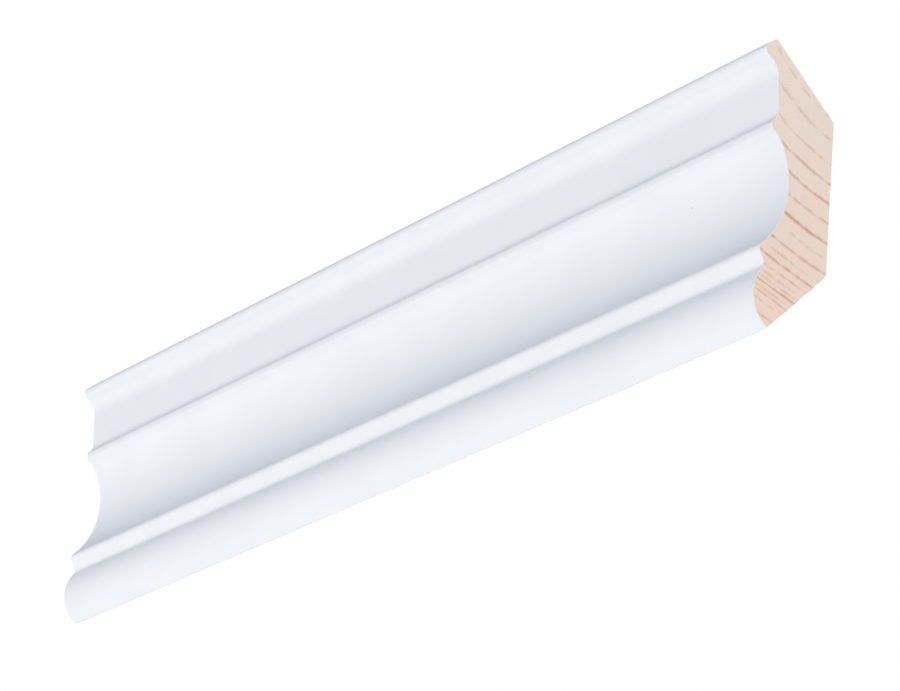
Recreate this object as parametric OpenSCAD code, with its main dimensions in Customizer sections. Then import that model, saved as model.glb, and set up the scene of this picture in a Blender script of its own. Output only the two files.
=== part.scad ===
// Crown moulding length: one solid of primed softwood, cut square at both ends.
// It lies as it hangs in a room: +X runs along the length, +Y points into the wall and +Z
// up to the ceiling. The origin is the centre of the face that bears on the wall.
// The section is drawn in the moulder's frame, with the board flat on its back: u runs
// across the face, from the toe on the wall to the edge at the ceiling, and v is the
// thickness above the back. Depths are measured down from the front of the lip.

/* [Board] */
// Length between the two square cuts
length = 270; // [150:5:1000]
// Width across the face, from the toe to the ceiling edge
face_w = 57; // [54:0.5:76]
// Thickness of the board at the lip
thick = 16.5; // [13:0.5:22]
// Spring angle between the flat back and the wall
spring = 43.5; // [36:0.5:53]

/* [Lip and band] */
// Square edge between the ceiling face and the front of the lip
edge_w = 3.5; // [2:0.1:5]
// Front of the lip, across the face
lip_w = 2.2; // [1.9:0.1:4]
// Rounding of the lip's outer arris
lip_r = 1.4; // [0.4:0.1:1.4]
// Rounding between the front of the lip and the slope under it
lip_foot_r = 0.9; // [0.2:0.1:1]
// Run of the slope under the lip, across the face
lip_slope = 1.7; // [0.8:0.1:3]
// Hollow at the foot of that slope
lip_root_r = 2.5; // [0.5:0.1:3]
// Depth of the flat band at its top
band_depth = 3; // [2:0.1:5]
// Width of the flat band
band_w = 10.3; // [6:0.1:14]
// How much deeper the band lies at its foot
band_fall = 0.6; // [0:0.1:1.2]

/* [Step and cove] */
// Height of the step above the foot of the band
step_rise = 1.4; // [0.8:0.1:2.5]
// Run of the step's upper slope, across the face
step_slope = 1.4; // [0.5:0.1:2.5]
// Front of the step, across the face
step_w = 1.9; // [1.2:0.1:3.5]
// Depth of the cove's floor
cove_depth = 6.8; // [6:0.1:8.4]
// Radius of the throat, the tight start of the cove at the step
throat_r = 5.2; // [3.5:0.1:6.4]
// Angle between the face and the start of the cove
throat_angle = 64; // [50:1:78]

/* [Fillet, nose and toe] */
// Width of the sloping fillet between the cove and the nose
fillet_w = 3.6; // [2.5:0.1:5]
// Depth of the fillet's upper arris
fillet_depth = 0.7; // [0.3:0.1:1.5]
// Width of the rounded nose, from the toe to the quirk above it
nose_w = 12.2; // [10:0.1:15]
// Radius of the nose
nose_r = 7.9; // [7.5:0.1:10]
// Depth of the quirk, the sharp groove between the fillet and the nose
quirk_depth = 2.4; // [1.8:0.1:3]
// Depth of the toe
toe_depth = 3.85; // [3:0.05:5]

/* [Eased corners] */
// Rounding of the toe
toe_r = 0.9; // [0.3:0.1:1.5]
// Rounding of the heel, between the back and the wall face
heel_r = 1.5; // [0.3:0.1:2.5]
// Rounding of the two corners of the ceiling face
corner_r = 0.5; // [0.2:0.1:1]
// Rounding of the sharp arrises on the face
arris_r = 0.4; // [0.2:0.1:0.6]

/* [Hidden] */
$fn = 96;
primer = "#e9eff5";

// Unit vector along v, v turned a quarter clockwise, and the angle of v
function unit(v) = v / norm(v);
function outward(v) = [v[1], -v[0]];
function angle_of(v) = atan2(v[1], v[0]);
function polar(r, a) = r * [cos(a), sin(a)];

// Where a line through p along d is at a distance from c: way is -1 for the first such
// point along d and 1 for the second
function at_distance(p, d, c, distance, way) =
    let (w = p - c, along = w * d)
    p + d * (way * sqrt(pow(along, 2) - w * w + pow(distance, 2)) - along);

// Centre of a rounding of radius r that touches the line p, d from inside the wood, and
// lies at a distance from c
function ease_centre(p, d, r, c, distance, way) =
    at_distance(p - r * outward(d), d, c, distance, way);

// Length of the tangents of a rounding of radius r between the directions d and e
function tangent_length(d, e, r) = r * tan(acos(d * e) / 2);

// How far a rounding's circle stands past the faces it joins, and how many degrees a
// disc runs on past its corner, so that every cut meets the wood in one clean line
overlap = 0.001;
past = 8;

// Bearing bevels: the thickness where each starts and its run across the face
toe_t = thick - toe_depth;
edge_t = thick - edge_w;
wall_run = toe_t / tan(spring);
ceiling_run = edge_t * tan(spring);

// Corners of the section, from the toe along the back and down the face
toe = [0, toe_t];
heel = [wall_run, 0];
back_top = [face_w - ceiling_run, 0];
edge_back = [face_w, edge_t];
edge_front = [face_w, thick];
lip_foot = edge_front - [lip_w, 0];
band_top = lip_foot - [lip_slope, band_depth];
band_foot = band_top - [band_w, band_fall];
step_top = band_foot + [-step_slope, step_rise];
cove_top = step_top - [step_w, 0];
fillet_top = [nose_w + fillet_w, thick - fillet_depth];
quirk = [nose_w, thick - quirk_depth];

// The cove is two arcs that share a tangent. The throat leaves the step at its own angle.
// The large arc has its lowest point on the cove's floor, ends at the fillet and holds
// the throat's circle against it: its centre solves those three conditions.
cove_floor = thick - cove_depth;
throat_c = cove_top + throat_r * [-sin(throat_angle), cos(throat_angle)];
throat_rise = throat_c[1] - throat_r - cove_floor;
fillet_rise = fillet_top[1] - cove_floor;
ratio = throat_rise / fillet_rise;
half_sum = throat_c[0] - ratio * fillet_top[0];
product = pow(throat_c[0], 2) - ratio * pow(fillet_top[0], 2)
    - throat_rise * (fillet_rise - throat_rise - 2 * throat_r);
cove_u = (half_sum - sqrt(pow(half_sum, 2) - (1 - ratio) * product)) / (1 - ratio);
cove_r = (pow(cove_u - fillet_top[0], 2) + pow(fillet_rise, 2)) / (2 * fillet_rise);
cove_c = [cove_u, cove_floor + cove_r];
cove_join = cove_c + cove_r * unit(throat_c - cove_c);

// The nose is one arc through the quirk and the toe
nose_half = norm(toe - quirk) / 2;
nose_c = (quirk + toe) / 2
    - sqrt(pow(nose_r, 2) - pow(nose_half, 2)) * outward(unit(toe - quirk));

// The hollow between the slope under the lip and the band
slope_dir = unit(band_top - lip_foot);
band_dir = unit(band_foot - band_top);
root_length = tangent_length(slope_dir, band_dir, lip_root_r);
root_start = band_top - root_length * slope_dir;
root_end = band_top + root_length * band_dir;
root_c = root_start + lip_root_r * outward(slope_dir);

// Centres of the roundings that touch an arc on one side
step_dir = unit(cove_top - step_top);
fillet_dir = unit(quirk - fillet_top);
wall_dir = unit(heel - toe);
cove_ease = ease_centre(cove_top, step_dir, arris_r, throat_c, throat_r + arris_r, -1);
fillet_ease = ease_centre(fillet_top, fillet_dir, arris_r, cove_c, cove_r + arris_r, 1);
toe_ease = ease_centre(toe, wall_dir, toe_r, nose_c, nose_r - toe_r, -1);

// Slice with its point at c, open between the angles a and b, and longer than r
module wedge(c, r, a, b) {
    turn = (b - a + 540) % 360 - 180;
    reach = 1.5 * r;
    polygon([
        c,
        c + polar(reach, a),
        c + polar(reach / cos(turn / 2), a + turn / 2),
        c + polar(reach, b)
    ]);
}

// The part of a disc at c between the angles a and b
module pie(c, r, a, b) {
    intersection() {
        translate(c) circle(r);
        wedge(c, r, a, b);
    }
}

// What a rounding at c takes off a corner, between the outward directions n and m
module ease(c, r, n, m) {
    difference() {
        wedge(c, r, angle_of(n), angle_of(m));
        translate(c) circle(r + overlap);
    }
}

// What a rounding takes off the straight corner p, on the way from a to b
module ease_corner(a, p, b, r) {
    d = unit(p - a);
    e = unit(b - p);
    ease(p - tangent_length(d, e, r) * d - r * outward(d), r, outward(d), outward(e));
}

// The outline with straight lines only: chords stand in for the hollow at the lip, the
// cove and the nose
module blank() {
    polygon([toe, heel, back_top, edge_back, edge_front, lip_foot, root_start, root_end,
        band_foot, step_top, cove_top, fillet_top, quirk]);
}

// The section: the nose is added to the blank, and the hollows and eased corners cut
module section() {
    difference() {
        union() {
            blank();
            pie(nose_c, nose_r, angle_of(quirk - nose_c) - past, angle_of(toe - nose_c));
        }
        pie(root_c, lip_root_r + overlap, angle_of(-outward(slope_dir)) + past,
            angle_of(-outward(band_dir)) - past);
        pie(throat_c, throat_r + overlap, angle_of(cove_top - throat_c) + past,
            angle_of(cove_join - throat_c) - past);
        pie(cove_c, cove_r, angle_of(cove_join - cove_c),
            angle_of(fillet_top - cove_c) - past);
        ease_corner(toe, heel, back_top, heel_r);
        ease_corner(heel, back_top, edge_back, corner_r);
        ease_corner(back_top, edge_back, edge_front, corner_r);
        ease_corner(edge_back, edge_front, lip_foot, lip_r);
        ease_corner(edge_front, lip_foot, root_start, lip_foot_r);
        ease_corner(band_foot, step_top, cove_top, arris_r);
        ease(cove_ease, arris_r, outward(step_dir), throat_c - cove_ease);
        ease(fillet_ease, arris_r, cove_c - fillet_ease, outward(fillet_dir));
        ease(toe_ease, toe_r, toe_ease - nose_c, outward(wall_dir));
    }
}

// The whole moulding: the section turned from its back to the spring angle and run along X
module crown_moulding() {
    color(primer)
        rotate([90 + spring, 0, 0])
        rotate([90, 0, 90])
        linear_extrude(length, center = true)
        translate(-(toe + heel) / 2)
        section();
}

crown_moulding();
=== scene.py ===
"""Crown moulding length: one primed softwood moulding, sawn square at both ends.

The moulding is drawn as a section in the moulder's frame, with the board flat on its back:
u runs across the face, from the toe on the wall to the edge at the ceiling, and v is the
thickness above the back. It lies in the room at its spring angle, as the frame holds it.
"""

import logging
import math
from collections.abc import Callable
from dataclasses import dataclass
from enum import Enum

import bpy
from mathutils import Matrix, Vector


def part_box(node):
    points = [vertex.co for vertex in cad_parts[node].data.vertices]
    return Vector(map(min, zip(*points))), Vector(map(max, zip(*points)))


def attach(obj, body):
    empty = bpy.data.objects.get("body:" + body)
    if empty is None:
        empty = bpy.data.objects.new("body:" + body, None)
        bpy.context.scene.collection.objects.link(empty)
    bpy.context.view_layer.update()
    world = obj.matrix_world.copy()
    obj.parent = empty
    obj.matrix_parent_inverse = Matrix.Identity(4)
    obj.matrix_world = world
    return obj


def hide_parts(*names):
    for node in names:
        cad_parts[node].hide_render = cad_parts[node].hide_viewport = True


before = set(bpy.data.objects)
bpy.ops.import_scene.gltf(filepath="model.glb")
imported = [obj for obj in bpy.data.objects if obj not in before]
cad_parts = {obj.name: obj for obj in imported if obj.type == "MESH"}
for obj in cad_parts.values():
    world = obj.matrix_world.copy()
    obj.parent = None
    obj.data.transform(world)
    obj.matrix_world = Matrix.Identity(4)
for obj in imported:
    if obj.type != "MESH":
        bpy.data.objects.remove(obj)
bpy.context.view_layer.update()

MM = 0.001
# Places nearer than TOUCH are one place, and a normal that leans less than LEAN is square.
TOUCH = 0.001 * MM
LEAN = 0.001
NODE = "crown_moulding"

log = logging.getLogger("crown_moulding")


class Coat(Enum):
    """What covers each kind of surface. The value is the material's place on the piece."""

    PRIMER = 0
    PLANED = 1
    SAWN = 2


def linear(hex_colour: str) -> tuple[float, float, float, float]:
    """Turn an sRGB hex colour into linear values.

    Args:
        hex_colour: Six hex digits after a hash sign.

    Returns:
        Linear red, green and blue, and an alpha of 1.
    """
    shares = [int(hex_colour[i:i + 2], 16) / 255 for i in (1, 3, 5)]
    values = [c / 12.92 if c <= 0.04045 else ((c + 0.055) / 1.055) ** 2.4 for c in shares]
    return (*values, 1.0)


def add_node(tree: bpy.types.NodeTree, kind: str, inputs: dict | None = None,
             **settings: object) -> bpy.types.Node:
    """Add a node to a tree.

    Args:
        tree: The node tree.
        kind: The node's class name without its leading "ShaderNode".
        inputs: A value or an output socket for each input, by its name or number.
        settings: The node's own properties.

    Returns:
        The node.
    """
    node = tree.nodes.new("ShaderNode" + kind)
    for name, value in settings.items():
        setattr(node, name, value)
    for key, value in (inputs or {}).items():
        if isinstance(value, bpy.types.NodeSocket):
            tree.links.new(value, node.inputs[key])
        else:
            node.inputs[key].default_value = value
    return node


def new_material(name: str) -> tuple[bpy.types.Material, bpy.types.NodeTree]:
    """Make an empty node material.

    Args:
        name: The material's name.

    Returns:
        The material and its node tree.
    """
    material = bpy.data.materials.new(name)
    material.use_nodes = True
    material.node_tree.nodes.clear()
    return material, material.node_tree


def unit(v: Vector) -> Vector:
    """The direction of v."""
    return v.normalized()


def outward(v: Vector) -> Vector:
    """v turned a quarter clockwise: out of the wood, for a direction along the outline."""
    return Vector((v[1], -v[0]))


def tangent_length(d: Vector, e: Vector, radius: float) -> float:
    """Length of the tangents of a rounding between the directions d and e."""
    return radius * math.tan(d.angle(e) / 2)


def eased(p: Vector, d: Vector, radius: float, centre: Vector, distance: float,
          way: int) -> Vector:
    """Centre of a rounding that touches a straight run and an arc.

    Args:
        p: A point of the run.
        d: The run's direction along the outline.
        radius: The rounding.
        centre: The arc's centre.
        distance: How far the rounding's centre lies from it.
        way: -1 for the first such place along the run, and 1 for the second.

    Returns:
        The rounding's centre.
    """
    base = p - radius * outward(d)
    w = base - centre
    along = w.dot(d)
    return base + d * (way * math.sqrt(along ** 2 - w.length_squared + distance ** 2) - along)


def on_end(face: bpy.types.MeshPolygon) -> bool:
    """Whether a face looks along the length, out of either end."""
    return abs(face.normal.x) > 0.5


def select_faces(obj: bpy.types.Object, test: Callable[[bpy.types.MeshPolygon], bool]) -> None:
    """Select the faces that pass a test, and nothing else, and be in edit mode.

    Args:
        obj: The active object.
        test: Says whether a face is chosen.
    """
    bpy.ops.object.mode_set(mode="EDIT")
    bpy.ops.mesh.select_mode(type="FACE")
    bpy.ops.mesh.select_all(action="DESELECT")
    bpy.ops.object.mode_set(mode="OBJECT")
    for face in obj.data.polygons:
        face.select = test(face)
    bpy.ops.object.mode_set(mode="EDIT")


def assign(obj: bpy.types.Object, coat: Coat) -> None:
    """Give the selected faces a coat."""
    obj.active_material_index = coat.value
    bpy.ops.object.material_slot_assign()


def look_from(obj: bpy.types.Object, azimuth: float, elevation: float, distance: float,
              aim: Vector, roll: float = 0.0) -> None:
    """Set a camera or a light to look at a point.

    Args:
        obj: The camera or light.
        azimuth: Where it stands round the point, in degrees from -Y towards +X.
        elevation: Its degrees above the point's level.
        distance: How far it stands from the point, in metres.
        aim: The point.
        roll: Degrees that it is turned round its own line of sight.
    """
    a, e = math.radians(azimuth), math.radians(elevation)
    back = Vector((math.sin(a) * math.cos(e), -math.cos(a) * math.cos(e), math.sin(e)))
    turn = (-back).to_track_quat("-Z", "Y").to_matrix().to_4x4()
    obj.matrix_world = (Matrix.Translation(aim + back * distance)
                        @ turn @ Matrix.Rotation(math.radians(roll), 4, "Z"))


def shown_as(tree: bpy.types.NodeTree, real: bpy.types.Node,
             look: bpy.types.Node) -> bpy.types.NodeSocket:
    """Let one shader light the scene while the camera sees another.

    Args:
        tree: The node tree.
        real: The shader that every other ray meets.
        look: The shader that the camera sees.

    Returns:
        The mixed shader's socket.
    """
    seen = add_node(tree, "LightPath").outputs["Is Camera Ray"]
    return add_node(tree, "MixShader", {
        0: seen, 1: real.outputs[0], 2: look.outputs[0]}).outputs[0]


@dataclass(frozen=True)
class Section:
    """The moulding's section, in millimetres in the moulder's frame.

    Depths are measured down from the front of the lip. The lip's edge leans: the ceiling face
    runs on past it a little, and its front is set back. Primer pools in the two sharp creases,
    at the foot of the band and in the quirk. The toe is almost sharp.
    """

    # The board and the angle at which it hangs
    face_w: float = 57
    thick: float = 16.5
    spring: float = 43.5
    # The lip, the slope under it and the flat band
    edge_w: float = 3.5
    edge_run: float = 1.5
    edge_lean: float = 0.9
    lip_w: float = 1.6
    lip_r: float = 1.2
    lip_foot_r: float = 1.7
    lip_slope: float = 1.7
    lip_root_r: float = 4.3
    band_depth: float = 3
    band_w: float = 10.3
    band_fall: float = 0.6
    # The step and the cove, whose throat is its tight start
    step_rise: float = 1.3
    step_slope: float = 1.45
    step_w: float = 1.45
    step_fall: float = 0.12
    cove_depth: float = 6.8
    throat_r: float = 5.2
    throat_angle: float = 64
    # The fillet, the nose, the quirk between them and the toe
    fillet_w: float = 3.6
    fillet_depth: float = 0.7
    nose_w: float = 12.2
    nose_r: float = 7.9
    quirk_depth: float = 2.4
    toe_depth: float = 3.85
    # Roundings of the corners and creases
    toe_r: float = 0.35
    heel_r: float = 1.5
    corner_r: float = 0.5
    edge_r: float = 0.65
    step_r: float = 0.75
    fillet_r: float = 1.2
    crease_r: float = 2.2
    quirk_r: float = 1.2

    @property
    def slant(self) -> float:
        """The spring angle in radians."""
        return math.radians(self.spring)

    @property
    def toe(self) -> Vector:
        """Corner between the nose and the wall face."""
        return Vector((0, self.thick - self.toe_depth))

    @property
    def heel(self) -> Vector:
        """Corner between the wall face and the back."""
        return Vector((self.toe.y / math.tan(self.slant), 0))

    @property
    def back_top(self) -> Vector:
        """Corner between the back and the ceiling face."""
        rise = self.thick - self.edge_w
        return Vector((self.face_w - rise * math.tan(self.slant), 0))

    @property
    def edge_back(self) -> Vector:
        """Corner between the ceiling face and the lip's edge."""
        length = (self.thick - self.edge_w) / math.cos(self.slant) + self.edge_run
        along = Vector((math.sin(self.slant), math.cos(self.slant)))
        return self.back_top + length * along

    @property
    def edge_front(self) -> Vector:
        """Corner between the lip's edge and its front."""
        return Vector((self.face_w - self.edge_lean, self.thick))

    @property
    def lip_foot(self) -> Vector:
        """Where the front of the lip turns down to the band."""
        return self.edge_front - Vector((self.lip_w, 0))

    @property
    def band_top(self) -> Vector:
        """Upper end of the flat band."""
        return self.lip_foot - Vector((self.lip_slope, self.band_depth))

    @property
    def band_foot(self) -> Vector:
        """Lower end of the flat band."""
        return self.band_top - Vector((self.band_w, self.band_fall))

    @property
    def step_top(self) -> Vector:
        """Upper arris of the step."""
        return self.band_foot + Vector((-self.step_slope, self.step_rise))

    @property
    def cove_top(self) -> Vector:
        """Lower arris of the step, where the cove starts."""
        return self.step_top - Vector((self.step_w, self.step_fall))

    @property
    def fillet_top(self) -> Vector:
        """Upper arris of the fillet, where the cove ends."""
        return Vector((self.nose_w + self.fillet_w, self.thick - self.fillet_depth))

    @property
    def quirk(self) -> Vector:
        """Bottom of the sharp groove between the fillet and the nose."""
        return Vector((self.nose_w, self.thick - self.quirk_depth))

    @property
    def throat_centre(self) -> Vector:
        """Centre of the cove's tight start, which leaves the step at its own angle."""
        angle = math.radians(self.throat_angle)
        return self.cove_top + self.throat_r * Vector((-math.sin(angle), math.cos(angle)))

    @property
    def cove_centre(self) -> Vector:
        """Centre of the cove's large arc.

        Its lowest point is on the cove's floor, it ends at the fillet, and the throat's arc
        touches it from inside.
        """
        floor = self.thick - self.cove_depth
        end = self.fillet_top
        throat = self.throat_centre
        throat_rise = throat.y - self.throat_r - floor
        fillet_rise = end.y - floor
        ratio = throat_rise / fillet_rise
        half_sum = throat.x - ratio * end.x
        product = (throat.x ** 2 - ratio * end.x ** 2
                   - throat_rise * (fillet_rise - throat_rise - 2 * self.throat_r))
        u = (half_sum - math.sqrt(half_sum ** 2 - (1 - ratio) * product)) / (1 - ratio)
        radius = ((u - end.x) ** 2 + fillet_rise ** 2) / (2 * fillet_rise)
        return Vector((u, floor + radius))

    @property
    def cove_r(self) -> float:
        """Radius of the cove's large arc."""
        return (self.fillet_top - self.cove_centre).length

    @property
    def nose_centre(self) -> Vector:
        """Centre of the nose, one arc through the quirk and the toe."""
        chord = self.toe - self.quirk
        rise = math.sqrt(self.nose_r ** 2 - chord.length_squared / 4)
        return (self.toe + self.quirk) / 2 - rise * outward(unit(chord))

    @property
    def origin(self) -> Vector:
        """The frame's origin: the middle of the face on the wall."""
        return (self.toe + self.heel) / 2

    def placed(self, point: Vector, x: float) -> Vector:
        """Place a point of the section in the room.

        Args:
            point: The point in the moulder's frame, in millimetres.
            x: Its place along the length, in metres.

        Returns:
            The point in the frame, in metres.
        """
        u, v = point - self.origin
        sine, cosine = math.sin(self.slant), math.cos(self.slant)
        return Vector((x, (-u * sine - v * cosine) * MM, (u * cosine - v * sine) * MM))

    def read(self, place: Vector) -> Vector:
        """Find the point of the section at a place in the room.

        Args:
            place: The place in the frame, in metres.

        Returns:
            The point in the moulder's frame, in millimetres.
        """
        sine, cosine = math.sin(self.slant), math.cos(self.slant)
        y, z = place.y / MM, place.z / MM
        return self.origin + Vector((-y * sine + z * cosine, -y * cosine - z * sine))


@dataclass
class Pen:
    """Draws an outline in edit mode: one vertex is extruded and spun along it.

    Straight runs are cut into short spans, so that bands of faces stay near square, and arcs
    are fine enough to look round.
    """

    section: Section
    x: float
    at: Vector
    # A straight run's spans, and the short one at each of its ends, in millimetres
    run_pitch: float = 1.5
    hold: float = 0.25
    # The most that one step of an arc turns, and its length in millimetres
    arc_degrees: float = 12.0
    arc_pitch: float = 0.6

    def start(self, name: str) -> bpy.types.Object:
        """Make the object with its first vertex, and stay in edit mode.

        Args:
            name: The object's name.

        Returns:
            The object, at the origin.
        """
        bpy.ops.object.select_all(action="DESELECT")
        bpy.ops.mesh.primitive_plane_add(size=MM)
        obj = bpy.context.active_object
        obj.name = name
        bpy.ops.object.mode_set(mode="EDIT")
        bpy.ops.mesh.select_all(action="SELECT")
        bpy.ops.mesh.merge(type="CENTER")
        bpy.ops.transform.translate(value=self.section.placed(self.at, self.x))
        return obj

    def move(self, point: Vector) -> None:
        """Extrude straight to a point.

        Args:
            point: The point in the moulder's frame.
        """
        value = self.section.placed(point, self.x) - self.section.placed(self.at, self.x)
        bpy.ops.mesh.extrude_region_move(TRANSFORM_OT_translate={"value": value})
        self.at = point

    def line(self, end: Vector) -> None:
        """Draw a straight run, with a short span at each end that holds its shading flat.

        Args:
            end: Where the run ends.
        """
        start = self.at.copy()
        length = (end - start).length
        stops = [length]
        if length > 4 * self.hold:
            inner = length - 2 * self.hold
            count = math.ceil(inner / self.run_pitch)
            stops = [self.hold + inner * i / count for i in range(count + 1)] + [length]
        for stop in stops:
            self.move(start.lerp(end, stop / length))

    def arc(self, centre: Vector, end: Vector) -> None:
        """Spin round a centre to a point, the short way.

        Args:
            centre: The arc's centre.
            end: Where the arc ends.
        """
        a, b = self.at - centre, end - centre
        angle = math.atan2(a.x * b.y - a.y * b.x, a.dot(b))
        steps = max(math.ceil(math.degrees(abs(angle)) / self.arc_degrees),
                    math.ceil(abs(angle) * a.length / self.arc_pitch))
        bpy.ops.mesh.spin(steps=steps, angle=-angle, axis=(1, 0, 0),
                          center=self.section.placed(centre, self.x))
        self.at = end

    def rounded(self, corner: Vector, after: Vector, radius: float) -> None:
        """Draw up to a straight corner and round it.

        Args:
            corner: The sharp corner.
            after: The next corner.
            radius: The rounding.
        """
        d, e = unit(corner - self.at), unit(after - corner)
        length = tangent_length(d, e, radius)
        self.line(corner - length * d)
        side = 1 if d.x * e.y - d.y * e.x > 0 else -1
        self.arc(self.at - side * radius * outward(d), corner + length * e)


@dataclass(frozen=True)
class GrowthRing:
    """One year's latewood line: its radius from the pith, its width and how dark it is."""

    radius: float
    width: float
    depth: float


@dataclass(frozen=True)
class Timber:
    """Fast-grown pine, sawn so that the rings cross the section. Sizes are millimetres."""

    pith_y: float = -33.3
    pith_z: float = 64.6
    rings: tuple[GrowthRing, ...] = (
        GrowthRing(34.4, 0.45, 0.35),
        GrowthRing(38.3, 0.60, 0.40),
        GrowthRing(42.9, 0.45, 0.45),
        GrowthRing(46.6, 0.50, 0.65),
        GrowthRing(50.4, 0.50, 0.80),
        GrowthRing(54.1, 0.50, 0.60),
        GrowthRing(58.0, 0.60, 1.00),
        GrowthRing(61.0, 0.55, 0.34),
        GrowthRing(64.0, 0.50, 0.70),
        GrowthRing(66.2, 0.50, 0.40),
        GrowthRing(68.0, 0.50, 0.80),
        GrowthRing(69.8, 0.40, 0.48),
        GrowthRing(71.2, 0.35, 0.45),
        GrowthRing(72.3, 0.35, 0.60),
        GrowthRing(73.2, 0.42, 0.85),
        GrowthRing(74.4, 0.32, 0.42),
        GrowthRing(75.3, 0.38, 0.65),
        GrowthRing(76.8, 0.35, 0.42),
        GrowthRing(79.3, 0.45, 0.65),
    )
    # The radii between which the rings are drawn, with one curve on each side of the middle
    near: float = 30.0
    middle: float = 56.0
    far: float = 82.0
    # How a line darkens outwards, in shares of its rise, and how sharply it ends, in widths
    rise: tuple[tuple[float, float], ...] = ((-1.0, 0.0), (-0.5, 0.45))
    fall: tuple[tuple[float, float], ...] = ((-0.15, 1.0), (0.2, 0.95), (0.6, 0.35), (1.0, 0.0))
    rise_widths: float = 1.3
    most_of_gap: float = 0.8

    def line_points(self, low: float, high: float) -> list[tuple[float, float]]:
        """Darkness along the radius, as a curve from low to high.

        Args:
            low: The curve's inner radius.
            high: The curve's outer radius.

        Returns:
            Points of share along the curve and darkness.
        """
        span = high - low
        points = [(0.0, 0.0)]
        last = low
        for ring in self.rings:
            if not low < ring.radius < high:
                continue
            reach = min(self.rise_widths * ring.width, self.most_of_gap * (ring.radius - last))
            shape = [(a * reach, b) for a, b in self.rise]
            shape += [(a * ring.width, b) for a, b in self.fall]
            points += [((ring.radius + a - low) / span, b * ring.depth) for a, b in shape]
            last = ring.radius + ring.width
        return points + [(1.0, 0.0)]

    def darkness(self, radius: float) -> float:
        """Find how much of the wood at a radius is latewood.

        Args:
            radius: Distance from the pith, in millimetres.

        Returns:
            A share from 0 to 1.
        """
        found = 0.0
        for ring in self.rings:
            reach = abs(radius - ring.radius) / ring.width
            found = max(found, ring.depth * max(0.0, 1 - reach))
        return found

    def radius_at(self, place: Vector) -> float:
        """Distance from the pith, in millimetres, of a place in the frame."""
        return math.hypot(place.y / MM - self.pith_y, place.z / MM - self.pith_z)


def rising_curve(node: bpy.types.Node, points: list[tuple[float, float]]) -> None:
    """Give a Float Curve node straight spans between points.

    Args:
        node: The node.
        points: The points in order of x, from 0 to 1.
    """
    curve = node.mapping.curves[0]
    curve.points[0].location = points[0]
    curve.points[1].location = points[-1]
    for x, y in points[1:-1]:
        curve.points.new(x, y)
    for point in curve.points:
        point.handle_type = "VECTOR"
    node.mapping.update()


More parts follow.
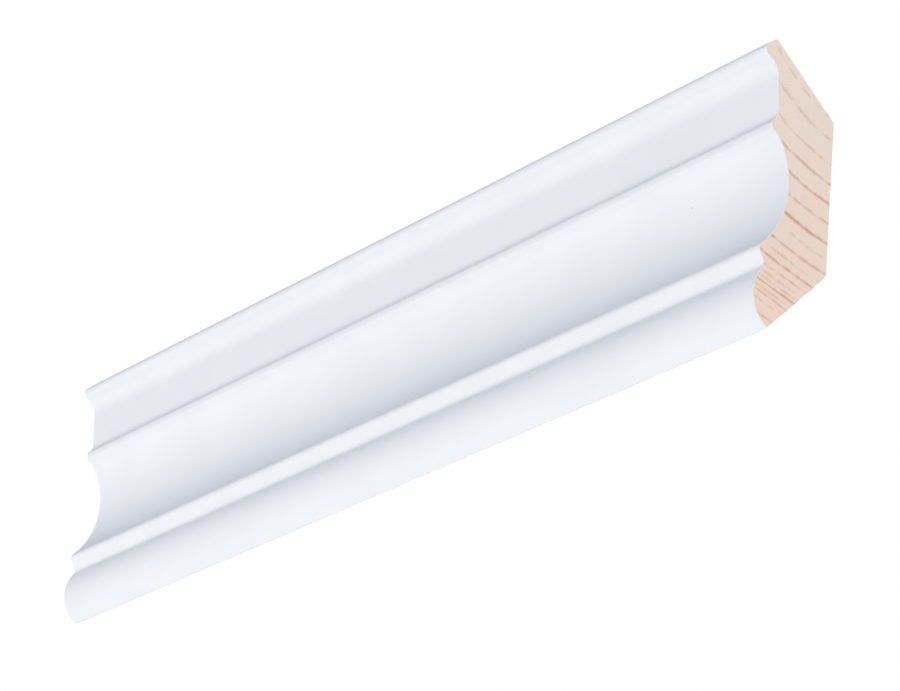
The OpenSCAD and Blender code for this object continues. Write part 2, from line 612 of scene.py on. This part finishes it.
@dataclass(frozen=True)
class PineFinish:
    """Pine whose rings are solid through the board, so ends and long faces agree.

    Latewood is denser and darker than the wide pale earlywood between its lines, and the
    wood warms a little away from the pith. Fibres are 0.03 mm across, too fine to show, so
    the stipple of their ends is drawn several times as coarse. A resin canal is 0.2 mm wide,
    and its specks are drawn a little wider.
    """

    timber: Timber
    name: str
    inner: str
    outer: str
    late: str
    resin: str
    stipple_mm: float
    stipple_stretch: float
    roughness: float
    bump_mm: float
    ior: float = 1.5
    specular: float = 0.25
    # How far the rings waver, over what length, and how much longer along the grain
    wave_mm: float = 0.9
    wave_pitch_mm: float = 9.0
    wave_stretch: float = 0.08
    # Stretches where a line fades: the noise that starts and ends one, and the change
    gap_mm: float = 2.2
    gap_noise: tuple[float, float] = (0.4, 0.6)
    gap_change: tuple[float, float] = (-0.33, 0.05)
    # Clouds of warmer wood
    blush_pitch_mm: float = 5.0
    blush_swing: float = 1.2
    # The stipple's noise and the brightness that it gives
    stipple_noise: tuple[float, float] = (0.3, 0.7)
    stipple_gain: tuple[float, float] = (0.95, 1.05)
    # Resin in the latewood
    speck_mm: float = 0.5
    speck_noise: tuple[float, float] = (0.62, 0.7)
    speck_share: float = 0.7

    def lines(self, tree: bpy.types.NodeTree, place: bpy.types.NodeSocket,
              radius: bpy.types.NodeSocket) -> bpy.types.NodeSocket:
        """Build the latewood lines.

        Args:
            tree: The material's node tree.
            place: Object coordinates, drawn out along the grain.
            radius: Distance from the pith, in metres.

        Returns:
            A socket with the darkness of the wood from 0 to 1.
        """
        timber = self.timber
        wave = add_node(tree, "TexNoise", {
            "Vector": place, "Scale": 1 / (self.wave_pitch_mm * MM), "Detail": 3.0})
        shift = add_node(tree, "Math", {
            0: wave.outputs["Fac"], 1: self.wave_mm * MM, 2: -self.wave_mm * MM / 2},
            operation="MULTIPLY_ADD")
        bent = add_node(tree, "Math", {0: radius, 1: shift.outputs[0]})
        halves = []
        for low, high in ((timber.near, timber.middle), (timber.middle, timber.far)):
            share = add_node(tree, "MapRange", {
                "Value": bent.outputs[0], "From Min": low * MM, "From Max": high * MM})
            curve = add_node(tree, "FloatCurve", {"Value": share.outputs[0]})
            rising_curve(curve, timber.line_points(low, high))
            halves.append(curve.outputs[0])
        both = add_node(tree, "Math", {0: halves[0], 1: halves[1]}, operation="MAXIMUM")
        patch = add_node(tree, "TexNoise", {
            "Vector": place, "Scale": 1 / (self.gap_mm * MM), "Detail": 1.0})
        gap = add_node(tree, "MapRange", {
            "Value": patch.outputs["Fac"],
            "From Min": self.gap_noise[0], "From Max": self.gap_noise[1],
            "To Min": self.gap_change[0], "To Max": self.gap_change[1]})
        dashed = add_node(tree, "Math", {0: both.outputs[0], 1: gap.outputs[0]}, use_clamp=True)
        return add_node(tree, "Math", {0: dashed.outputs[0], 1: both.outputs[0]},
                        operation="MINIMUM").outputs[0]

    def ground(self, tree: bpy.types.NodeTree, place: bpy.types.NodeSocket,
               fibres: bpy.types.NodeSocket, radius: bpy.types.NodeSocket
               ) -> bpy.types.NodeSocket:
        """Build the earlywood's colour.

        Args:
            tree: The material's node tree.
            place: Object coordinates.
            fibres: Object coordinates, drawn out as far as the stipple is.
            radius: Distance from the pith, in metres.

        Returns:
            A socket with the colour, stippled by the ends of the fibres.
        """
        share = add_node(tree, "MapRange", {
            "Value": radius, "From Min": self.timber.near * MM, "From Max": self.timber.far * MM})
        cloud = add_node(tree, "TexNoise", {
            "Vector": place, "Scale": 1 / (self.blush_pitch_mm * MM), "Detail": 3.0})
        warm = add_node(tree, "Math", {
            0: cloud.outputs["Fac"], 1: self.blush_swing, 2: -self.blush_swing / 2},
            operation="MULTIPLY_ADD")
        mixed = add_node(tree, "Math", {0: share.outputs[0], 1: warm.outputs[0]}, use_clamp=True)
        ground = add_node(tree, "Mix", {
            "Factor": mixed.outputs[0], "A": linear(self.inner), "B": linear(self.outer)},
            data_type="RGBA")
        stipple = add_node(tree, "TexNoise", {
            "Vector": fibres, "Scale": 1 / (self.stipple_mm * MM), "Detail": 4.0,
            "Roughness": 0.65})
        gain = add_node(tree, "MapRange", {
            "Value": stipple.outputs["Fac"],
            "From Min": self.stipple_noise[0], "From Max": self.stipple_noise[1],
            "To Min": self.stipple_gain[0], "To Max": self.stipple_gain[1]})
        return add_node(tree, "VectorMath", {
            0: ground.outputs["Result"], "Scale": gain.outputs[0]}, operation="SCALE").outputs[0]

    def resin_share(self, tree: bpy.types.NodeTree, place: bpy.types.NodeSocket,
                    lines: bpy.types.NodeSocket) -> bpy.types.NodeSocket:
        """Build the specks of resin, which ooze only from canals in the latewood.

        Args:
            tree: The material's node tree.
            place: Object coordinates, drawn out along the grain.
            lines: Darkness of the wood.

        Returns:
            A socket with the share of resin from 0 to 1.
        """
        speck = add_node(tree, "TexNoise", {
            "Vector": place, "Scale": 1 / (self.speck_mm * MM), "Detail": 0.0})
        oozing = add_node(tree, "MapRange", {
            "Value": speck.outputs["Fac"],
            "From Min": self.speck_noise[0], "From Max": self.speck_noise[1],
            "To Max": self.speck_share})
        return add_node(tree, "Math", {
            0: oozing.outputs[0], 1: lines}, operation="MULTIPLY").outputs[0]

    def build(self) -> bpy.types.Material:
        """Make the material.

        Returns:
            The material.
        """
        material, tree = new_material(self.name)
        place = add_node(tree, "TexCoord").outputs["Object"]
        long = add_node(tree, "Mapping", {
            "Vector": place, "Scale": (self.wave_stretch, 1, 1)}).outputs[0]
        fibres = add_node(tree, "Mapping", {
            "Vector": place, "Scale": (self.stipple_stretch, 1, 1)}).outputs[0]
        across = add_node(tree, "Mapping", {
            "Vector": place,
            "Location": (0, -self.timber.pith_y * MM, -self.timber.pith_z * MM),
            "Scale": (0, 1, 1)})
        radius = add_node(tree, "VectorMath", {
            0: across.outputs[0]}, operation="LENGTH").outputs["Value"]
        lines = self.lines(tree, long, radius)
        ringed = add_node(tree, "Mix", {
            "Factor": lines, "A": self.ground(tree, place, fibres, radius),
            "B": linear(self.late)}, data_type="RGBA")
        colour = add_node(tree, "Mix", {
            "Factor": self.resin_share(tree, long, lines), "A": ringed.outputs["Result"],
            "B": linear(self.resin)}, data_type="RGBA")
        rough = add_node(tree, "TexNoise", {
            "Vector": fibres, "Scale": 1 / (self.stipple_mm * MM), "Detail": 3.0})
        height = add_node(tree, "Math", {0: rough.outputs["Fac"], 1: lines})
        bump = add_node(tree, "Bump", {
            "Height": height.outputs[0], "Distance": self.bump_mm * MM, "Strength": 1.0})
        shader = add_node(tree, "BsdfPrincipled", {
            "Base Color": colour.outputs["Result"], "Roughness": self.roughness,
            "IOR": self.ior, "Specular IOR Level": self.specular, "Normal": bump.outputs[0]})
        add_node(tree, "OutputMaterial", {"Surface": shader.outputs[0]})
        return material


@dataclass(frozen=True)
class PrimerFinish:
    """White acrylic primer, drawn through a coating head and left matte.

    It levels into a smooth film, and the long grain still shows through as faint ridges. One
    grain of dust is caught in it. The film's own nibs are a tenth of a millimetre wide, too
    fine to show, and are drawn five times as coarse.
    """

    name: str = "acrylic_primer_vacuum_coated"
    colour: str = "#e6ebf0"
    cool: str = "#dfe6ee"
    mottle_mm: float = 14.0
    ridge_mm: float = 0.9
    ridge_stretch: float = 0.02
    nib_mm: float = 0.5
    bump_mm: float = 0.008
    roughness: float = 0.62
    ior: float = 1.5
    specular: float = 0.35
    dust_at_mm: tuple[float, float, float] = (104.0, -21.5, 16.7)
    dust_mm: float = 0.3
    dust_colour: str = "#8d9192"
    dust_share: float = 0.5

    def build(self) -> bpy.types.Material:
        """Make the material.

        Returns:
            The material.
        """
        material, tree = new_material(self.name)
        place = add_node(tree, "TexCoord").outputs["Object"]
        long = add_node(tree, "Mapping", {"Vector": place, "Scale": (self.ridge_stretch, 1, 1)})
        ridges = add_node(tree, "TexNoise", {
            "Vector": long.outputs[0], "Scale": 1 / (self.ridge_mm * MM), "Detail": 2.0})
        nibs = add_node(tree, "TexNoise", {
            "Vector": place, "Scale": 1 / (self.nib_mm * MM), "Detail": 2.0})
        height = add_node(tree, "Math", {0: ridges.outputs["Fac"], 1: nibs.outputs["Fac"]})
        bump = add_node(tree, "Bump", {
            "Height": height.outputs[0], "Distance": self.bump_mm * MM, "Strength": 1.0})
        mottle = add_node(tree, "TexNoise", {
            "Vector": place, "Scale": 1 / (self.mottle_mm * MM), "Detail": 2.0})
        colour = add_node(tree, "Mix", {
            "Factor": mottle.outputs["Fac"], "A": linear(self.colour), "B": linear(self.cool)},
            data_type="RGBA")
        away = add_node(tree, "VectorMath", {
            0: place, 1: Vector(self.dust_at_mm) * MM}, operation="DISTANCE")
        grain = add_node(tree, "MapRange", {
            "Value": away.outputs["Value"], "From Min": self.dust_mm * MM / 2,
            "From Max": self.dust_mm * MM, "To Min": self.dust_share, "To Max": 0.0})
        dusted = add_node(tree, "Mix", {
            "Factor": grain.outputs[0], "A": colour.outputs["Result"],
            "B": linear(self.dust_colour)}, data_type="RGBA")
        shader = add_node(tree, "BsdfPrincipled", {
            "Base Color": dusted.outputs["Result"], "Roughness": self.roughness,
            "IOR": self.ior, "Specular IOR Level": self.specular, "Normal": bump.outputs[0]})
        add_node(tree, "OutputMaterial", {"Surface": shader.outputs[0]})
        return material


TIMBER = Timber()
FINISHES = {
    # Primer drawn on in a vacuum coater: an even, cool, matte white that hides the wood.
    Coat.PRIMER: PrimerFinish(),
    # Bare pine off the planer: long soft streaks and a faint sheen along the grain.
    Coat.PLANED: PineFinish(
        TIMBER, "pine_planed_bare", inner="#ecdac6", outer="#e8cdb2", late="#cb9c70",
        resin="#c98850", stipple_mm=0.45, stipple_stretch=0.03, roughness=0.6, bump_mm=0.02),
    # Pine cut across by a fine saw: duller than the planed faces, and stippled by its fibres.
    Coat.SAWN: PineFinish(
        TIMBER, "pine_sawn_end_grain", inner="#e8dacd", outer="#ecd5c1", late="#cba08c",
        resin="#d8935f", stipple_mm=0.28, stipple_stretch=1.0, roughness=0.85, bump_mm=0.05),
}


@dataclass
class MouldingLength:
    """The moulding: its outline run along X, with a sawn cap at each end.

    A saw's marks lie a few tenths of a millimetre apart, too close to show, so they are drawn
    about 1 mm apart, round the blade's centre in front of the wall.
    """

    section: Section
    timber: Timber
    low_x: float
    high_x: float
    run_pitch_mm: float = 3.0
    # The film of primer that shows round the moulded edge of an end
    film_mm: float = 0.16
    # The caps: their cells, how deep the soft wood sinks, and the saw's part of that
    cap_pitch_mm: float = 0.5
    recess_mm: float = 0.07
    kerf_pitch_mm: float = 1.1
    kerf_share: float = 0.2
    blade_r_mm: float = 125.0
    # Fibres torn out along the wall edge, where the saw left the wood
    torn_mm: float = 0.35
    torn_reach_mm: float = 0.7
    tuft_mm: float = 0.8
    tuft_detail: int = 3
    # Faces that meet at less than this are shaded as one round surface
    smooth_degrees: float = 32.0

    def build(self) -> bpy.types.Object:
        """Make the whole piece.

        Returns:
            The finished object, at the origin.
        """
        obj = self.draw()
        self.run()
        self.coat(obj)
        self.cut_caps(obj)
        self.roughen_caps(obj)
        self.finish(obj)
        return obj

    def draw(self) -> bpy.types.Object:
        """Draw the outline at the low end, from the toe along the back and down the face.

        Returns:
            The object, in edit mode, with one face.
        """
        s = self.section
        wall = unit(s.heel - s.toe)
        toe_centre = eased(s.toe, wall, s.toe_r, s.nose_centre, s.nose_r - s.toe_r, -1)
        toe_start = s.nose_centre + s.nose_r * unit(toe_centre - s.nose_centre)
        pen = Pen(s, self.low_x, toe_start)
        obj = pen.start("crown_moulding_length")
        pen.arc(toe_centre, toe_centre + s.toe_r * outward(wall))
        pen.rounded(s.heel, s.back_top, s.heel_r)
        pen.rounded(s.back_top, s.edge_back, s.corner_r)
        pen.rounded(s.edge_back, s.edge_front, s.edge_r)
        pen.rounded(s.edge_front, s.lip_foot, s.lip_r)
        pen.rounded(s.lip_foot, s.band_top, s.lip_foot_r)
        pen.rounded(s.band_top, s.band_foot, s.lip_root_r)
        pen.rounded(s.band_foot, s.step_top, s.crease_r)
        pen.rounded(s.step_top, s.cove_top, s.step_r)
        self.draw_cove(pen)
        fillet = unit(s.quirk - s.fillet_top)
        pooled = eased(s.quirk, fillet, -s.quirk_r, s.nose_centre, s.nose_r + s.quirk_r, -1)
        pen.line(pooled - s.quirk_r * outward(fillet))
        pen.arc(pooled, s.nose_centre + s.nose_r * unit(pooled - s.nose_centre))
        pen.arc(s.nose_centre, toe_start)
        bpy.ops.mesh.select_all(action="SELECT")
        bpy.ops.mesh.remove_doubles(threshold=TOUCH)
        bpy.ops.mesh.edge_face_add()
        return obj

    def draw_cove(self, pen: Pen) -> None:
        """Draw from the front of the step, through the cove, on to the fillet.

        Args:
            pen: The pen, after the rounding of the step's upper arris.
        """
        s = self.section
        step = unit(s.cove_top - s.step_top)
        upper = eased(s.cove_top, step, s.step_r, s.throat_centre, s.throat_r + s.step_r, -1)
        pen.line(upper + s.step_r * outward(step))
        pen.arc(upper, upper + s.step_r * unit(s.throat_centre - upper))
        join = s.cove_centre + s.cove_r * unit(s.throat_centre - s.cove_centre)
        pen.arc(s.throat_centre, join)
        fillet = unit(s.quirk - s.fillet_top)
        lower = eased(s.fillet_top, fillet, s.fillet_r, s.cove_centre, s.cove_r + s.fillet_r, 1)
        pen.arc(s.cove_centre, lower + s.fillet_r * unit(s.cove_centre - lower))
        pen.arc(lower, lower + s.fillet_r * outward(fillet))

    def run(self) -> None:
        """Extrude the outline along the length in even steps."""
        length = self.high_x - self.low_x
        count = round(length / (self.run_pitch_mm * MM))
        bpy.ops.mesh.extrude_repeat(steps=count, offset=(length / count, 0, 0))
        bpy.ops.mesh.select_all(action="SELECT")
        bpy.ops.mesh.normals_make_consistent(inside=False)

    def by_seat(self, place: Vector) -> bool:
        """Tell whether a place on a cap lies along one of the bare faces.

        Args:
            place: The place in the frame, in metres.

        Returns:
            True if it is nearer the back, the wall face or the ceiling face than the width
            of the film.
        """
        point = self.section.read(place)
        s = self.section
        wall = (point - s.heel).dot(outward(unit(s.heel - s.toe)))
        ceiling = (point - s.back_top).dot(outward(unit(s.edge_back - s.back_top)))
        return max(wall, ceiling, -point.y) > -self.film_mm

    def coat(self, obj: bpy.types.Object) -> None:
        """Give each face its coat, and put a film of primer round the moulded edge of a cap.

        Args:
            obj: The run, in edit mode.
        """
        for coat in Coat:
            obj.data.materials.append(FINISHES[coat].build())
        select_faces(obj, lambda f: min(f.normal.y, f.normal.z) > -LEAN and not on_end(f))
        assign(obj, Coat.PLANED)
        select_faces(obj, on_end)
        assign(obj, Coat.SAWN)
        bpy.ops.mesh.inset(thickness=self.film_mm * MM, use_even_offset=True)
        select_faces(obj, lambda f: on_end(f) and len(f.vertices) == 4
                     and not self.by_seat(f.center))
        assign(obj, Coat.PRIMER)

    def cut_caps(self, obj: bpy.types.Object) -> None:
        """Cut each cap into small cells, fine enough to carry the relief of a sawn end.

        Args:
            obj: The run, in edit mode.
        """
        s = self.section
        select_faces(obj, lambda f: on_end(f) and len(f.vertices) > 4)
        bpy.ops.mesh.hide(unselected=True)
        corner = s.placed(Vector((0, 0)), 0)
        across = s.placed(Vector((1, 0)), 0) - corner
        up = s.placed(Vector((0, 1)), 0) - corner
        for step, span in ((across, s.face_w), (up, s.thick)):
            for i in range(1, round(span / self.cap_pitch_mm)):
                place = corner + step * (i * self.cap_pitch_mm)
                bpy.ops.mesh.select_all(action="SELECT")
                bpy.ops.mesh.bisect(plane_co=place, plane_no=step.normalized())
        bpy.ops.mesh.select_all(action="SELECT")
        bpy.ops.mesh.subdivide(number_cuts=1)
        bpy.ops.mesh.reveal(select=False)
        bpy.ops.object.mode_set(mode="OBJECT")

    def roughen_caps(self, obj: bpy.types.Object) -> None:
        """Sink the soft earlywood of each cap, and tear the fibres along its wall edge.

        Args:
            obj: The run, in object mode.
        """
        s = self.section
        soft = obj.vertex_groups.new(name="earlywood")
        torn = obj.vertex_groups.new(name="torn_edge")
        wall = outward(unit(s.heel - s.toe))
        for vertex in obj.data.vertices:
            if min(vertex.co.x - self.low_x, self.high_x - vertex.co.x) > TOUCH:
                continue
            depth = (s.heel - s.read(vertex.co)).dot(wall)
            if depth < self.torn_reach_mm:
                torn.add([vertex.index], 1 - max(depth, 0) / self.torn_reach_mm, "REPLACE")
            radius = self.timber.radius_at(vertex.co)
            across = math.hypot(vertex.co.y / MM - self.blade_r_mm, vertex.co.z / MM)
            kerf = 0.5 + 0.5 * math.sin(2 * math.pi * across / self.kerf_pitch_mm)
            sunk = (1 - self.kerf_share) * (1 - self.timber.darkness(radius))
            soft.add([vertex.index], sunk + self.kerf_share * kerf, "REPLACE")
        fibres = bpy.data.textures.new("torn_fibres", "CLOUDS")
        fibres.noise_scale = self.tuft_mm * MM
        fibres.noise_depth = self.tuft_detail
        sink = obj.modifiers.new("earlywood", "DISPLACE")
        sink.vertex_group = soft.name
        sink.mid_level = 0
        sink.strength = -self.recess_mm * MM
        sink.direction = "NORMAL"
        tear = obj.modifiers.new("torn_edge", "DISPLACE")
        tear.vertex_group = torn.name
        tear.texture = fibres
        tear.texture_coords = "LOCAL"
        tear.mid_level = 0
        tear.strength = -self.torn_mm * MM

    def finish(self, obj: bpy.types.Object) -> None:
        """Apply the modifiers and smooth what is round.

        Args:
            obj: The moulding, in object mode.
        """
        bpy.ops.object.select_all(action="DESELECT")
        obj.select_set(True)
        bpy.context.view_layer.objects.active = obj
        for modifier in list(obj.modifiers):
            bpy.ops.object.modifier_apply(modifier=modifier.name)
        bpy.ops.object.shade_smooth_by_angle(angle=math.radians(self.smooth_degrees))


@dataclass(frozen=True)
class CameraView:
    """The camera: where it looks from, round a point of the part, and its lens."""

    azimuth: float = 81.676
    elevation: float = -35.258
    roll: float = 50.86
    distance: float = 1.0322
    aim: tuple[float, float, float] = (0.0072, -0.01623, 0.02044)
    lens: float = 197.94
    sensor: float = 36.0
    clip_end: float = 50.0

    def build(self) -> None:
        """Make the camera and set it as the scene's."""
        data = bpy.data.cameras.new("camera")
        data.lens = self.lens
        data.sensor_width = self.sensor
        data.clip_end = self.clip_end
        camera = bpy.data.objects.new("camera", data)
        bpy.context.scene.collection.objects.link(camera)
        look_from(camera, self.azimuth, self.elevation, self.distance, Vector(self.aim),
                  self.roll)
        bpy.context.scene.camera = camera


@dataclass(frozen=True)
class Softbox:
    """A square area light that looks at the part. Its power is in watts."""

    name: str
    azimuth: float
    elevation: float
    power: float
    colour: str = "#fffdf8"
    distance: float = 1.6
    size: float = 0.8

    def build(self) -> None:
        """Make the light."""
        data = bpy.data.lights.new(self.name, "AREA")
        data.shape = "SQUARE"
        data.size = self.size
        data.energy = self.power
        data.color = linear(self.colour)[:3]
        light = bpy.data.objects.new(self.name, data)
        bpy.context.scene.collection.objects.link(light)
        look_from(light, self.azimuth, self.elevation, self.distance, Vector())
        light.visible_camera = False


@dataclass(frozen=True)
class Studio:
    """A white room: cool light from all round, warm softboxes, and a pale floor a storey below.

    The camera sees the backdrop and the floor in their own plain colours, whatever light they
    throw on the part.
    """

    floor_z: float = -2.4
    floor_size: float = 60.0
    floor_colour: str = "#f2f2f0"
    floor_roughness: float = 0.9
    floor_look: str = "#d8d9dc"
    room_level: float = 0.552
    room_colour: str = "#eff0ff"
    backdrop_look: str = "#ffffff"
    softboxes: tuple[Softbox, ...] = (
        Softbox("key_softbox", 0.0, -78.5, power=14.2, colour="#fff8e8"),
        Softbox("right_end_softbox", 85.9, -4.0, power=11.6),
        Softbox("left_end_softbox", -85.9, -4.0, power=11.6),
        Softbox("wall_side_softbox", 180.0, -12.0, power=7.0),
        Softbox("back_softbox", 180.0, 43.5, power=6.0),
    )

    def build(self) -> None:
        """Make the world, the floor and the lights."""
        self.build_world()
        self.build_floor()
        for softbox in self.softboxes:
            softbox.build()
        bpy.context.scene.view_settings.view_transform = "Standard"

    def build_world(self) -> None:
        """Make the soft light from all round, in front of a white backdrop."""
        world = bpy.data.worlds.new("studio")
        world.use_nodes = True
        tree = world.node_tree
        tree.nodes.clear()
        room = add_node(tree, "Background", {
            "Color": linear(self.room_colour), "Strength": self.room_level})
        backdrop = add_node(tree, "Background", {
            "Color": linear(self.backdrop_look), "Strength": 1.0})
        add_node(tree, "OutputWorld", {"Surface": shown_as(tree, room, backdrop)})
        bpy.context.scene.world = world

    def build_floor(self) -> None:
        """Lay the floor, which throws light like matte white paint."""
        bpy.ops.object.select_all(action="DESELECT")
        bpy.ops.mesh.primitive_plane_add(size=self.floor_size, location=(0, 0, self.floor_z))
        floor = bpy.context.active_object
        floor.name = "floor"
        material, tree = new_material("matte_white_floor")
        paint = add_node(tree, "BsdfPrincipled", {
            "Base Color": linear(self.floor_colour), "Roughness": self.floor_roughness})
        look = add_node(tree, "Emission", {"Color": linear(self.floor_look), "Strength": 1.0})
        add_node(tree, "OutputMaterial", {"Surface": shown_as(tree, paint, look)})
        floor.data.materials.append(material)


def main() -> None:
    """Build the camera, the studio and the moulding."""
    logging.basicConfig(level=logging.INFO, format="%(name)s: %(message)s")
    CameraView().build()
    Studio().build()
    low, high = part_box(NODE)
    obj = MouldingLength(Section(), TIMBER, low.x, high.x).build()
    log.info("%s: %d faces", obj.name, len(obj.data.polygons))
    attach(obj, "root")
    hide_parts(NODE)


if __name__ == "__main__":
    main()
